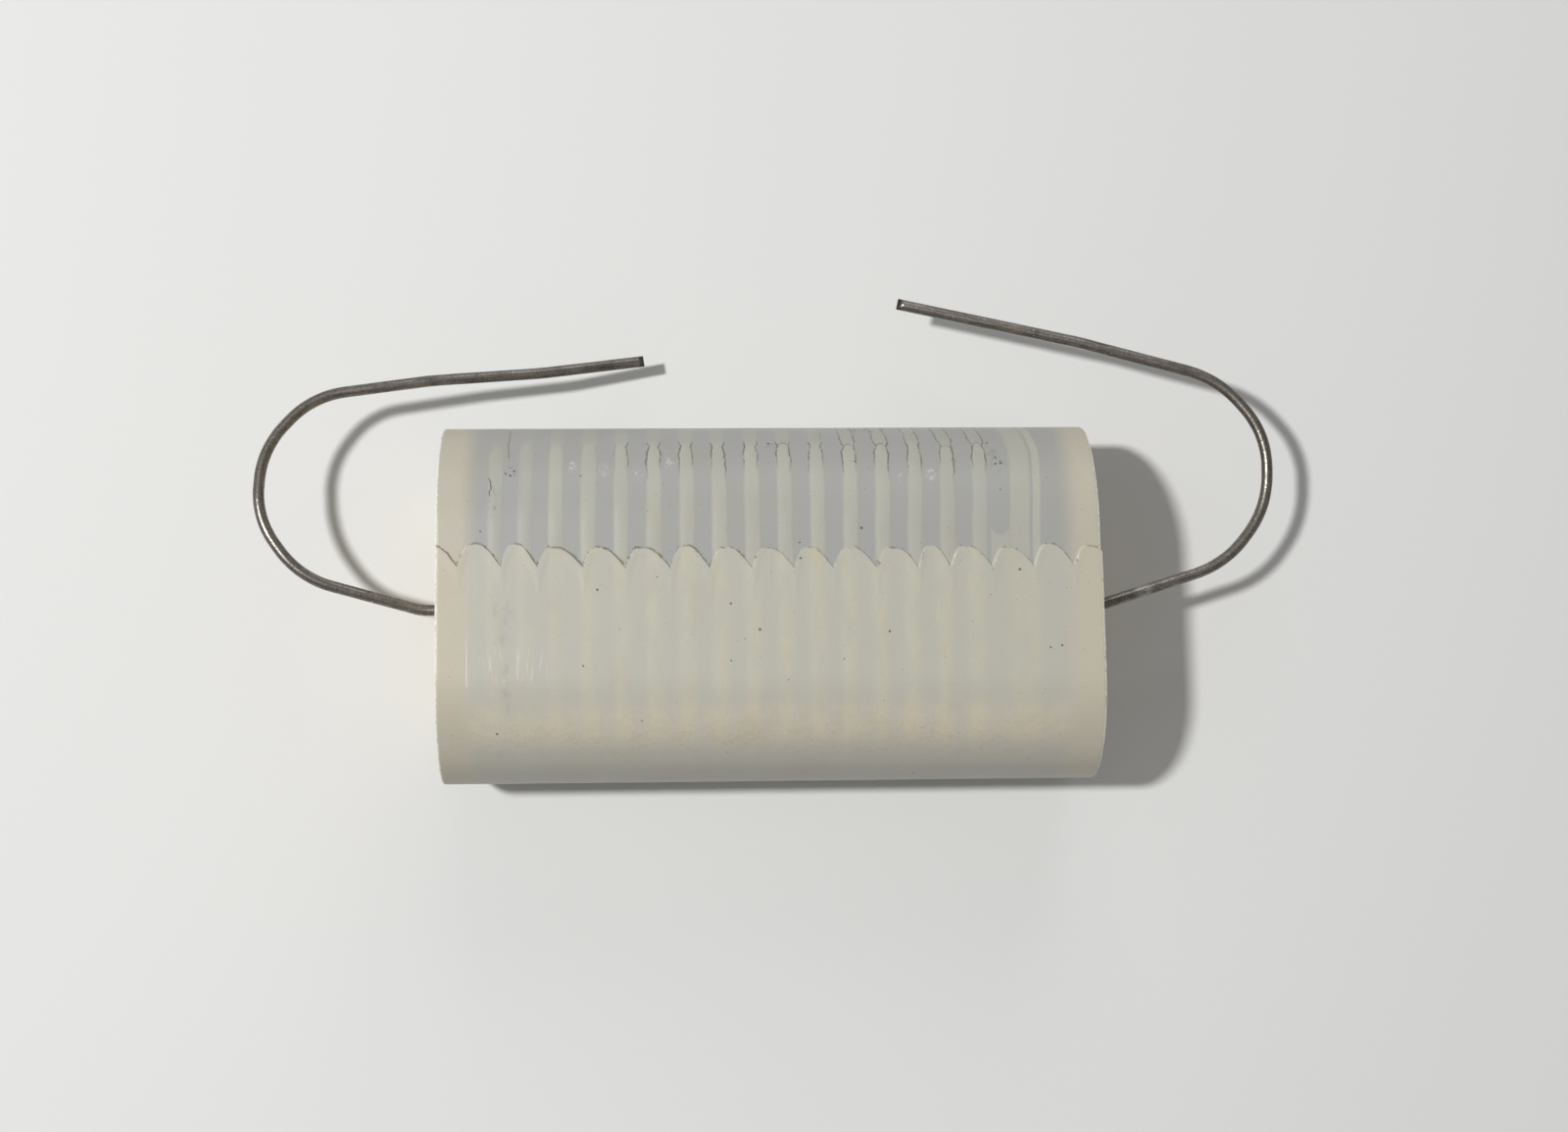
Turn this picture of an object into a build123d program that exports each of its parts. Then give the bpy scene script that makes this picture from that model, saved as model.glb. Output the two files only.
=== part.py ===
from build123d import *

import math
import os

# Axial film capacitor: an oval roll of metallised film, wrapped in tape and filled with resin at both ends,
# with a bent wire lead out of each end. The origin is the middle of the flat face that it lies on. X runs
# along the roll from the left lead to the right one, and Z points up out of that face.

# Body over the tape. Its ends were cut a little out of square.
body_length = 46.0
body_width = 25.4
body_thickness = 15.5
left_end_skew_deg = 0.3
right_end_skew_deg = 1.1

# Tape, wound round and round the roll. Its free end lies along the upper flat.
tape_thickness = 0.08
tape_turns = 5
seam_place = 2.2

# Teeth that the blade of the tape dispenser left along the free end.
tooth_pitch = 2.84
tooth_point = 2.0
tooth_point_share = 0.36
tooth_round = 0.6

# Air tunnels under the last turn but one, side by side from the free end to the round of the far edge.
tunnel_pitch = 2.2
tunnel_width = 0.95
tunnel_height = 0.05
tunnel_round_deg = 44.0

# Roll of film, a little deeper in at one end than at the other, and the metal sprayed on its two ends to join
# all the turns. The depths are from the ends of the tape to the sprayed metal.
left_end_depth = 2.12
right_end_depth = 2.68
spray_thickness = 0.5

# Resin in the two ends, sunk a little below the tape's edge and drawn up round the lead.
fill_recess = 0.3
meniscus_width = 0.7
meniscus_height = 0.45
meniscus_lip = 0.12

# Leads of tinned copper wire, each with a flat head that is held on the sprayed metal by a pool of solder.
lead_diameter = 0.81
lead_bend_share = 0.45
exit_bend_radius = 3.0
widest_bend_radius = 20.0
exit_offset = -0.3
head_diameter = 2.4
head_thickness = 0.35
solder_film = 0.1
solder_margin = 0.8
solder_cover = 0.3
cut_edge = 0.3
cut_bevel_deg = 32.0

# Left lead, bent round to run back past the body's side. Turns are from straight out of the body, and climbs
# are above level: first the run out of the body, then three runs round the loop, then the runs of the tail.
left_lead_length = 50.4
left_exit_reach = 1.6
left_exit_run = 8.87
left_tail_clearance = 2.47
left_turns_deg = (15.4, 54.0, 93.0, 132.0, 172.6, 172.6)
left_climbs_deg = (7.7, 1.2, -12.7, -9.5, -5.0, -14.2)
left_tail_shares = (0.476, 0.524)

# Right lead, bent round in the same way.
right_lead_length = 50.9
right_exit_reach = 0.9
right_exit_run = 9.9
right_tail_clearance = 3.55
right_turns_deg = (17.4, 51.8, 90.5, 129.8, 164.6, 167.3)
right_climbs_deg = (-1.2, -4.2, 2.7, -3.1, -3.0, -3.6)
right_tail_shares = (0.44, 0.56)

# Every cut runs this far past what it cuts, and every fused piece this far into what carries it.
overrun = 0.1

# Values that follow from those sizes.
wall = tape_turns * tape_thickness
lower_top = body_thickness - tape_thickness
axis_height = lower_top / 2
roll_width = body_width - 2 * wall
roll_thickness = lower_top - 2 * wall
sprayed_length = body_length - left_end_depth - right_end_depth
roll_middle = (left_end_depth - right_end_depth) / 2
lead_radius = lead_diameter / 2
tooth_count = math.ceil(body_length / tooth_pitch) + 1
tunnel_count = math.floor(sprayed_length / tunnel_pitch)


def unit_vector(side, turn_deg, climb_deg):
    """The direction that is turned from straight out of one end towards +Y, and raised from level."""
    turn = math.radians(turn_deg)
    climb = math.radians(climb_deg)
    return Vector(side * math.cos(turn) * math.cos(climb), math.sin(turn) * math.cos(climb), math.sin(climb))


def end_plane(side, inset):
    """The slightly skewed plane of one end, facing out of the body, moved in by an inset."""
    skew_deg = left_end_skew_deg if side < 0 else right_end_skew_deg
    outward = unit_vector(side, skew_deg, 0)
    middle = Vector(side * body_length / 2, 0, axis_height)
    return Plane(origin=middle - outward * inset, z_dir=outward)


def oval_slab(start, length):
    """A slab of the roll's oval section that starts at one X and runs along it by a length, either way."""
    section_plane = Plane(origin=(start, 0, axis_height), x_dir=(0, 1, 0), z_dir=(1, 0, 0))
    return extrude(section_plane * SlotOverall(roll_width, roll_thickness), amount=length)


def spray_face(side):
    """The X of the outer face of the sprayed metal on one end of the roll."""
    return roll_middle + side * sprayed_length / 2


def trimmed_to_ends(solid):
    """The solid cut off at the planes of both ends."""
    solid = split(solid, bisect_by=end_plane(-1, 0), keep=Keep.BOTTOM)
    return split(solid, bisect_by=end_plane(1, 0), keep=Keep.BOTTOM)


def tape_turns_solid(length):
    """All turns of the tape as one spiral shell, with the step of one thickness where the last turn ends."""
    last_round = body_thickness / 2
    last_centre = body_width / 2 - last_round
    lower_round = lower_top / 2
    lower_centre = body_width / 2 - lower_round
    outline = [
        Line((seam_place, lower_top), (seam_place, body_thickness)),
        Line((seam_place, body_thickness), (-last_centre, body_thickness)),
        ThreePointArc((-last_centre, body_thickness), (-body_width / 2, last_round), (-last_centre, 0)),
        Line((-last_centre, 0), (lower_centre, 0)),
        ThreePointArc((lower_centre, 0), (body_width / 2, lower_round), (lower_centre, lower_top)),
        Line((lower_centre, lower_top), (seam_place, lower_top)),
    ]
    section_plane = Plane(origin=(-length / 2, 0, 0), x_dir=(0, 1, 0), z_dir=(1, 0, 0))
    shell = extrude(section_plane * make_face(outline), amount=length)
    return shell - oval_slab(-length / 2 - overrun, length + 2 * overrun)


def tape_teeth():
    """The free end of the last turn past the notches: a row of lopsided teeth with rounded points."""
    first = -tooth_count * tooth_pitch / 2
    last = -first
    points = [(first, -tooth_point)]
    for tooth in range(tooth_count):
        notch = first + tooth * tooth_pitch
        points += [(notch, 0), (notch + tooth_point_share * tooth_pitch, tooth_point)]
    points += [(last, 0), (last, -tooth_point)]
    row = make_face(Polyline(*points, close=True))
    tips = row.vertices().group_by(Axis.Y)[-1]
    row = fillet(tips, tooth_round)
    return extrude(Pos(0, seam_place, lower_top) * row, amount=tape_thickness)


def air_tunnel(place):
    """One low ridge in the turn below, from under the free end, over the flat and down the far round."""
    round_radius = lower_top / 2
    round_centre = body_width / 2 - round_radius
    start = seam_place - tooth_point
    edge = round_radius - overrun
    crown = make_face(
        Polyline(
            (-tunnel_width / 2, edge),
            (tunnel_width / 2, edge),
            (tunnel_width / 2, round_radius),
            (0, round_radius + tunnel_height),
            (-tunnel_width / 2, round_radius),
            close=True,
        )
    )
    crown_plane = Plane(origin=(place, round_centre, axis_height), x_dir=(1, 0, 0), z_dir=(0, -1, 0))
    section = crown_plane * crown
    flat_run = extrude(section, amount=round_centre - start)
    round_axis = Axis((place, round_centre, axis_height), (-1, 0, 0))
    return flat_run + revolve(section, axis=round_axis, revolution_arc=tunnel_round_deg)


def tape_wrap():
    """The whole wrap: the spiral shell, its toothed free end and the air tunnels beside it."""
    wrap = tape_turns_solid(body_length + 2 * tooth_pitch) + tape_teeth()
    first = roll_middle - (tunnel_count - 1) * tunnel_pitch / 2
    wrap += [air_tunnel(first + tunnel * tunnel_pitch) for tunnel in range(tunnel_count)]
    return trimmed_to_ends(wrap)


def lead_points(side, length, reach, exit_run, clearance, turns_deg, climbs_deg, tail_shares):
    """The corners of a lead's route: its head, the exit, the loop that clears the body's side, and the tail."""
    head_x = spray_face(side) + side * solder_film
    exit_x = side * (body_length / 2 + reach)
    points = [Vector(head_x, exit_offset, axis_height), Vector(exit_x, exit_offset, axis_height)]
    runs = [unit_vector(side, turn, climb) for turn, climb in zip(turns_deg, climbs_deg)]
    loop_runs = len(runs) - 1 - len(tail_shares)
    loop_rise = sum(run.Y for run in runs[1 : 1 + loop_runs])
    loop_run = (body_width / 2 + clearance - exit_offset - exit_run * runs[0].Y) / loop_rise
    tail = length - reach - exit_run - loop_runs * loop_run
    lengths = [exit_run] + [loop_run] * loop_runs + [share * tail for share in tail_shares]
    for run, run_length in zip(runs, lengths):
        points.append(points[-1] + run * run_length)
    return points


def bend_radii(points):
    """The radius at each corner of a route: a set one at the exit, then as large as the runs and a limit allow."""
    radii = []
    for before, corner, after in zip(points, points[1:], points[2:]):
        half_turn = math.radians((corner - before).get_angle(after - corner) / 2)
        shorter = min((corner - before).length, (after - corner).length)
        radii.append(min(lead_bend_share * shorter / math.tan(half_turn), widest_bend_radius))
    radii[0] = exit_bend_radius
    return radii


def lead_wire(points):
    """A headed wire along the route, nipped off at its far end from above and below, which leaves a blunt wedge."""
    path = FilletPolyline(*points, radius=bend_radii(points))
    start = Plane(origin=path @ 0, z_dir=path % 0)
    wire = sweep(start * Circle(lead_radius), path=path) + extrude(start * Circle(head_diameter / 2), head_thickness)
    tip = path @ 1
    along = path % 1
    level = along.cross(Vector(0, 0, 1))
    across = level.cross(along).normalized()
    bevel = math.radians(cut_bevel_deg)
    for cheek in (-1, 1):
        facing = across * cheek * math.cos(bevel) + along * math.sin(bevel)
        cheek_plane = Plane(origin=tip + across * cheek * cut_edge / 2, z_dir=facing)
        jaw = Box(*[2 * lead_diameter] * 3, align=(Align.CENTER, Align.CENTER, Align.MIN))
        wire -= cheek_plane * jaw
    return wire


def solder_pool(side, wire):
    """The pool of solder that holds the lead's head on the sprayed metal, with the wire's own shape left out."""
    foot = Plane(origin=(spray_face(side), exit_offset, axis_height), z_dir=(side, 0, 0))
    outline = Circle(head_diameter / 2 + solder_margin)
    return extrude(foot * outline, solder_film + head_thickness + solder_cover) - wire


def end_fill(side, wire, solder):
    """The resin in one end, from the sprayed metal to just below the tape's edge, cast round lead and solder."""
    depth = left_end_depth if side < 0 else right_end_depth
    slab = oval_slab(spray_face(side), side * depth)
    surface = end_plane(side, fill_recess)
    slab = split(slab, bisect_by=surface, keep=Keep.BOTTOM)
    foot_of_cone = Plane(origin=surface.origin - surface.z_dir * overrun, z_dir=surface.z_dir)
    foot_of_cone = foot_of_cone.move(Pos(0, exit_offset, 0))
    meniscus = Cone(
        lead_radius + meniscus_width,
        lead_radius + meniscus_lip,
        meniscus_height + overrun,
        align=(Align.CENTER, Align.CENTER, Align.MIN),
    )
    return slab + foot_of_cone * meniscus - wire - solder


left_points = lead_points(
    -1,
    left_lead_length,
    left_exit_reach,
    left_exit_run,
    left_tail_clearance,
    left_turns_deg,
    left_climbs_deg,
    left_tail_shares,
)
right_points = lead_points(
    1,
    right_lead_length,
    right_exit_reach,
    right_exit_run,
    right_tail_clearance,
    right_turns_deg,
    right_climbs_deg,
    right_tail_shares,
)

nodes = {
    "tape_wrap": tape_wrap(),
    "film_roll": oval_slab(spray_face(-1) + spray_thickness, sprayed_length - 2 * spray_thickness),
}
for name, side, points in (("left", -1, left_points), ("right", 1, right_points)):
    wire = lead_wire(points)
    solder = solder_pool(side, wire)
    nodes["lead_" + name] = wire
    nodes["solder_" + name] = solder
    nodes["end_spray_" + name] = oval_slab(spray_face(side), -side * spray_thickness)
    nodes["end_fill_" + name] = end_fill(side, wire, solder)

os.makedirs("parts", exist_ok=True)
for name, solid in nodes.items():
    export_step(solid, os.path.join("parts", name + ".step"))
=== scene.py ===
import math

import bpy
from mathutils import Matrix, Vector


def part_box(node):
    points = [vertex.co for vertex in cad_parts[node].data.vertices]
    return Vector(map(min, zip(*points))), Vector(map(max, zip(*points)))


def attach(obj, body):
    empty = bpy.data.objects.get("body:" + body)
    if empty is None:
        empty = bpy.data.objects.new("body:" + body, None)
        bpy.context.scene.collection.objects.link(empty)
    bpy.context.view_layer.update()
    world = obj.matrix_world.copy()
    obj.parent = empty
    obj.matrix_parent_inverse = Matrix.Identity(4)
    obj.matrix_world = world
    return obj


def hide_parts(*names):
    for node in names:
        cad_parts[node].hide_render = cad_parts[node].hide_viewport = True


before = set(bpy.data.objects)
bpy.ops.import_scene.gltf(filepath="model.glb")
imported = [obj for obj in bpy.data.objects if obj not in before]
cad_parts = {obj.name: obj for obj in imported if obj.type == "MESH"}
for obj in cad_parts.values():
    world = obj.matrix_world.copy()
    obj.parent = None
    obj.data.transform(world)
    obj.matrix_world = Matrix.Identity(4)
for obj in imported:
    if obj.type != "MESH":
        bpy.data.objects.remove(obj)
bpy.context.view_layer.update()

# The film roll: two plastic films with a metal skin, wound together and pressed flat to an oval.
# It fills the wrap from one sprayed end to the other and shows nowhere, so the solid stays as it is.
mm = 0.001
film_silver = (176, 178, 180)
film_shade = (138, 141, 146)
film_lines_per_mm = 14.0
film_metal = 0.8
film_roughness = 0.34


def paint(colour):
    """A colour as it looks on a screen, 0 to 255, in the even steps that light adds up in."""
    shares = [channel / 255 for channel in colour]
    steps = [c / 12.92 if c <= 0.04045 else ((c + 0.055) / 1.055) ** 2.4 for c in shares]
    return (*steps, 1.0)


def feed(place, value):
    """Leads a term to a socket, or sets a plain value on it."""
    if isinstance(value, Term):
        place.id_data.links.new(value.socket, place)
    else:
        place.default_value = value


class Term:
    """A socket that sums can be written with: each sign adds one math node to the socket's tree."""

    def __init__(self, socket):
        self.socket = socket

    def math(self, operation, *others):
        step = self.socket.id_data.nodes.new("ShaderNodeMath")
        step.operation = operation
        for place, value in zip(step.inputs, (self, *others)):
            feed(place, value)
        return Term(step.outputs[0])

    def __add__(self, other):
        return self.math("ADD", other)

    def __sub__(self, other):
        return self.math("SUBTRACT", other)

    def __mul__(self, other):
        return self.math("MULTIPLY", other)

    def __truediv__(self, other):
        return self.math("DIVIDE", other)

    def less_from(self, other):
        """What is left of another value once this one is taken from it."""
        return (self * -1.0) + other

    def held(self, low, high):
        return self.math("MAXIMUM", low).math("MINIMUM", high)

    def rise(self, low, high, kind="SMOOTHSTEP"):
        """A soft step from 0 at low to 1 at high, either way round."""
        step = self.socket.id_data.nodes.new("ShaderNodeMapRange")
        step.interpolation_type = kind
        feed(step.inputs["Value"], self)
        feed(step.inputs["From Min"], low)
        feed(step.inputs["From Max"], high)
        return Term(step.outputs["Result"])

    def ramp(self, low, high):
        """A straight slope from 0 at low to 1 at high."""
        return self.rise(low, high, "LINEAR")

    def hump(self, middle, reach, flat=0.0):
        """A soft hump, 1 as far as its flat from the middle and 0 a reach away."""
        return (self - middle).math("ABSOLUTE").rise(reach, flat)

    def band(self, low, high, soft):
        """1 between low and high, with soft sides."""
        return self.rise(low - soft, low + soft) * self.rise(high + soft, high - soft)

    def power(self, exponent):
        return self.math("POWER", exponent)


def vector(tree, x, y, z):
    join = tree.nodes.new("ShaderNodeCombineXYZ")
    for place, value in zip(join.inputs, (x, y, z)):
        feed(place, value)
    return Term(join.outputs[0])


def split(term):
    part = term.socket.id_data.nodes.new("ShaderNodeSeparateXYZ")
    feed(part.inputs[0], term)
    return [Term(socket) for socket in part.outputs]


def cloud(where, per_mm, detail=2.0, roughness=0.5):
    """Soft noise from 0 to 1, with so many lumps to a millimetre."""
    noise = where.socket.id_data.nodes.new("ShaderNodeTexNoise")
    feed(noise.inputs["Vector"], where)
    noise.inputs["Scale"].default_value = per_mm
    noise.inputs["Detail"].default_value = detail
    noise.inputs["Roughness"].default_value = roughness
    return Term(noise.outputs[0])


def tint(first, second, share):
    """The first colour, passing to the second by a share."""
    mix = share.socket.id_data.nodes.new("ShaderNodeMix")
    mix.data_type = "RGBA"
    feed(mix.inputs[0], share)
    for place, colour in ((mix.inputs[6], first), (mix.inputs[7], second)):
        feed(place, colour if isinstance(colour, Term) else paint(colour))
    return Term(mix.outputs[2])


def layered(colour, coats):
    """A colour under thin coats of others, each laid on by its own share."""
    for coat, share in coats:
        colour = tint(colour, coat, share)
    return colour


def new_finish(name):
    """An empty material: its shader, and the place on the piece in millimetres."""
    material = bpy.data.materials.new(name)
    material.use_nodes = True
    tree = material.node_tree
    shader = tree.nodes["Principled BSDF"]
    coordinates = tree.nodes.new("ShaderNodeTexCoord")
    scale = tree.nodes.new("ShaderNodeVectorMath")
    scale.operation = "SCALE"
    scale.inputs["Scale"].default_value = 1 / mm
    tree.links.new(coordinates.outputs["Object"], scale.inputs[0])
    return material, shader, Term(scale.outputs[0])


def raised(shader, height, depth):
    """Gives a finish fine relief: height runs from 0 to 1, and depth is how far that is in metres."""
    tree = height.socket.id_data
    bump = tree.nodes.new("ShaderNodeBump")
    bump.inputs["Strength"].default_value = 1.0
    bump.inputs["Distance"].default_value = depth
    feed(bump.inputs["Height"], height)
    tree.links.new(bump.outputs["Normal"], shader.inputs["Normal"])


def dress(node_name, material):
    """Puts a finish on a solid that stays as it is."""
    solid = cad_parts[node_name]
    solid.data.materials.clear()
    solid.data.materials.append(material)


film, film_shader, film_place = new_finish("metallised_film")
film_y, film_z = split(film_place)[1:]
film_lines = cloud(vector(film.node_tree, 0.0, film_y, film_z), film_lines_per_mm)
feed(film_shader.inputs["Base Color"], tint(film_shade, film_silver, film_lines))
film_shader.inputs["Metallic"].default_value = film_metal
film_shader.inputs["Roughness"].default_value = film_roughness
dress("film_roll", film)

# The sprayed ends: molten zinc blown on to the roll's two faces, where it joins all the film edges.
# It sets as a dull, sandy grey crust. Resin covers both.
spray_light = (150, 150, 148)
spray_dark = (104, 104, 104)
spray_grains_per_mm = 6.0
spray_grain_depth = 0.04 * mm
spray_metal = 0.6
spray_roughness = 0.7

spray, spray_shader, spray_place = new_finish("sprayed_zinc")
spray_grains = cloud(spray_place, spray_grains_per_mm, detail=4.0)
feed(spray_shader.inputs["Base Color"], tint(spray_dark, spray_light, spray_grains))
spray_shader.inputs["Metallic"].default_value = spray_metal
spray_shader.inputs["Roughness"].default_value = spray_roughness
raised(spray_shader, spray_grains, spray_grain_depth)
for end in ("left", "right"):
    dress(f"end_spray_{end}", spray)

# The leads: tinned copper wire with a flat head, soldered on before the wrap goes round.
# Both were bent back past the body by hand and have dulled.
# Side cutters pinched their free ends from above and below.
lead_radius = 0.405
lead_head_radius = 1.2
lead_head_height = 0.35
# The corners of each lead's route in millimetres, from its head to its cut end, with the radius of each bend.
lead_corners = {
    "left": [
        ((-20.98, -0.3, 7.71), 0.0),
        ((-24.6, -0.3, 7.71), 3.0),
        ((-33.07, 2.03, 8.9), 6.6),
        ((-36.13, 6.26, 9.0), 6.2),
        ((-35.88, 11.34, 7.86), 6.7),
        ((-32.43, 15.17, 7.0), 6.3),
        ((-24.0, 16.38, 6.25), 15.0),
        ((-16.4, 17.08, 4.8), 20.0),
        ((-8.8, 18.24, 2.87), 0.0),
    ],
    "right": [
        ((20.42, -0.3, 7.71), 0.0),
        ((23.9, -0.3, 7.71), 3.0),
        ((33.34, 2.66, 7.5), 7.7),
        ((36.625, 6.84, 7.11), 6.7),
        ((36.59, 12.16, 7.36), 6.6),
        ((33.18, 16.25, 7.08), 7.6),
        ((22.97, 19.06, 6.52), 20.0),
        ((9.83, 22.02, 5.67), 0.0),
    ],
}
bend_steps = 14
lead_step = 0.12
lead_sides = 28
lead_crease = math.radians(40)
lead_seed_step = 40.0
lead_dent = 0.012
dents_per_mm = 0.9
undented_from = 0.62
cut_edge = 0.3
cut_slope = 0.62
# How far back from the cut end the wire is painted darker as shade.
tip_shade_length = 0.5
# Where the right lead leaves the body's shadow, a pale patch of painted highlight: its place and reach.
wire_highlight_place = (27.2, 0.74, 8.0)
wire_highlight_reach = 0.85
nick_place = (19.98, 19.74, 6.75)
nick_reach = 0.3
drawn_lines_round = 16.0
drawn_lines_per_mm = 0.3
lead_grain_per_mm = 5.5
lead_patches_per_mm = 0.7
lead_relief = 0.023 * mm
lead_metal = 0.8
lead_clean_roughness = 0.27
lead_oxide_roughness = 0.16
lead_spark_gloss = 0.06
lead_tin = (156, 150, 141)
lead_dull = (84, 80, 74)
# Bright tin for the sparks, also laid on there as painted highlight.
lead_bright_and_highlight = (232, 229, 222)
lead_dark = (60, 54, 48)


def growing_tree(name, inputs):
    """A geometry tree with one named input for each size, count or finish, and their terms."""
    tree = bpy.data.node_groups.new(name, "GeometryNodeTree")
    kinds = {float: "NodeSocketFloat", int: "NodeSocketInt", str: "NodeSocketMaterial"}
    tree.interface.new_socket("Geometry", in_out="INPUT", socket_type="NodeSocketGeometry")
    tree.interface.new_socket("Geometry", in_out="OUTPUT", socket_type="NodeSocketGeometry")
    for label, kind in inputs.items():
        tree.interface.new_socket(label, in_out="INPUT", socket_type=kinds[kind])
    entry = tree.nodes.new("NodeGroupInput")
    return tree, {socket.name: Term(socket) for socket in entry.outputs if socket.name}


def made(tree, kind, *, out=0, settings=None, **inputs):
    """Adds one node, with its settings and its inputs by name, and gives the output asked for."""
    new = tree.nodes.new(kind)
    for label, value in (settings or {}).items():
        setattr(new, label, value)
    for label, value in inputs.items():
        feed(new.inputs[label.replace("_", " ")], value)
    return Term(new.outputs[out])


def along(operation, first, second, out=0):
    """One step of vector sums: the second is a vector, or a plain number where a vector is scaled."""
    step = first.socket.id_data.nodes.new("ShaderNodeVectorMath")
    step.operation = operation
    feed(step.inputs[0], first)
    if second is not None:
        feed(step.inputs["Scale"] if operation == "SCALE" else step.inputs[1], second)
    return Term(step.outputs[out])


def noted(geometry, name, value, kind="FLOAT"):
    """Keeps a value on the points of a shape, for the finish to read."""
    store = geometry.socket.id_data.nodes.new("GeometryNodeStoreNamedAttribute")
    store.data_type = kind
    store.inputs["Name"].default_value = name
    feed(store.inputs["Geometry"], geometry)
    feed([s for s in store.inputs if s.name == "Value" and s.enabled][0], value)
    return Term(store.outputs["Geometry"])


def read(tree, name, kind="FLOAT"):
    """Reads back a value that was kept on the points."""
    return made(tree, "GeometryNodeInputNamedAttribute", settings={"data_type": kind}, Name=name)


def finished(tree, geometry, terms, crease):
    """Ends a tree: smooth faces with sharp creases, real geometry and its finish."""
    angle = made(tree, "GeometryNodeInputMeshEdgeAngle")
    smooth = made(tree, "GeometryNodeSetShadeSmooth", Geometry=geometry, Shade_Smooth=True)
    soft_edge = angle.math("LESS_THAN", crease)
    creased = made(tree, "GeometryNodeSetShadeSmooth", settings={"domain": "EDGE"},
                   Geometry=smooth, Shade_Smooth=soft_edge)
    real = made(tree, "GeometryNodeRealizeInstances", Geometry=creased)
    dressed = made(tree, "GeometryNodeSetMaterial", Geometry=real, Material=terms["Finish"])
    out = tree.nodes.new("NodeGroupOutput")
    feed(out.inputs[0], dressed)


def grown(name, carrier_data, tree, values):
    """Runs a tree on a carrier and keeps the result as a plain mesh piece at the origin."""
    carrier = bpy.data.objects.new(name + "_carrier", carrier_data)
    bpy.context.scene.collection.objects.link(carrier)
    growth = carrier.modifiers.new(tree.name, "NODES")
    growth.node_group = tree
    for socket in tree.interface.items_tree:
        if socket.in_out == "INPUT" and socket.name in values:
            growth[socket.identifier] = values[socket.name]
    graph = bpy.context.evaluated_depsgraph_get()
    mesh = bpy.data.meshes.new_from_object(
        carrier.evaluated_get(graph), preserve_all_data_layers=True, depsgraph=graph
    )
    bpy.data.objects.remove(carrier)
    mesh.name = name
    piece = bpy.data.objects.new(name, mesh)
    bpy.context.scene.collection.objects.link(piece)
    return piece


def note(tree, name):
    """A value that a tree kept on the piece, for its finish."""
    attribute = tree.nodes.new("ShaderNodeAttribute")
    attribute.attribute_name = name
    return Term(attribute.outputs["Fac"])


def spot(place, middle, reach):
    """A soft round patch about one place, 1 in its middle and 0 a reach away."""
    return along("DISTANCE", place, middle, out=1).rise(reach, reach * 0.4)


def specks_group():
    """Specks of dirt: dots of an uneven size, thinned out by an amount from 0 to 1."""
    ragged_per_mm = 9.0
    ragged_reach = 0.12
    smallest_share = 0.2
    soft_share = 0.5
    group = bpy.data.node_groups.new("dirt_specks", "ShaderNodeTree")
    for label, kind in (("Place", "NodeSocketVector"), ("Dots per mm", "NodeSocketFloat"),
                        ("Amount", "NodeSocketFloat"), ("Size share", "NodeSocketFloat")):
        group.interface.new_socket(label, in_out="INPUT", socket_type=kind)
    group.interface.new_socket("Mask", in_out="OUTPUT", socket_type="NodeSocketFloat")
    entry = group.nodes.new("NodeGroupInput")
    place, per_mm, amount, size = [Term(entry.outputs[i]) for i in range(4)]
    uneven = made(group, "ShaderNodeTexNoise", out=1, Vector=place, Scale=ragged_per_mm)
    cells = group.nodes.new("ShaderNodeTexVoronoi")
    feed(cells.inputs["Vector"], along("ADD", place, along("SCALE", uneven, ragged_reach)))
    feed(cells.inputs["Scale"], per_mm)
    lot = split(Term(cells.outputs["Color"]))
    chosen = lot[0].math("LESS_THAN", amount)
    reach = size * (lot[1] * (1 - smallest_share) + smallest_share)
    dot = Term(cells.outputs["Distance"]).rise(reach, reach * soft_share)
    out = group.nodes.new("NodeGroupOutput")
    feed(out.inputs[0], dot * chosen)
    return group


dirt_specks = specks_group()


def specks(place, per_mm, amount, size_share):
    """Places the specks group in a finish with its own values."""
    use = place.socket.id_data.nodes.new("ShaderNodeGroup")
    use.node_tree = dirt_specks
    for socket, value in zip(use.inputs, (place, per_mm, amount, size_share)):
        feed(socket, value)
    return Term(use.outputs["Mask"])


tinned, tinned_shader, tinned_place = new_finish("dull_tinned_wire")
tinned_tree = tinned.node_tree
wire_run = note(tinned_tree, "run")
wire_round = note(tinned_tree, "round")
wire_tip = note(tinned_tree, "tip")
drawn_place = vector(tinned_tree, wire_run * drawn_lines_per_mm, wire_round * drawn_lines_round, 0.0)
drawn = cloud(drawn_place, 1.0, detail=3.0)
grain = cloud(tinned_place, lead_grain_per_mm, detail=3.0, roughness=0.7)
patches = cloud(tinned_place, lead_patches_per_mm, detail=3.0, roughness=0.6)
oxide = (patches * 0.25 + grain * 0.4 + drawn * 0.35).rise(0.3, 0.68)
sparks = specks(tinned_place, per_mm=5.0, amount=0.16, size_share=0.34)
wire_dirt = specks(tinned_place, per_mm=3.2, amount=0.16, size_share=0.24) * 0.5
# Painted highlight: a pale patch on the right lead where it comes out of the body's shadow.
painted_wire_highlight = spot(tinned_place, wire_highlight_place, wire_highlight_reach) * grain.rise(0.38, 0.5) * 0.4
nick = spot(tinned_place, nick_place, nick_reach) * grain.rise(0.3, 0.5) * 0.5
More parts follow.
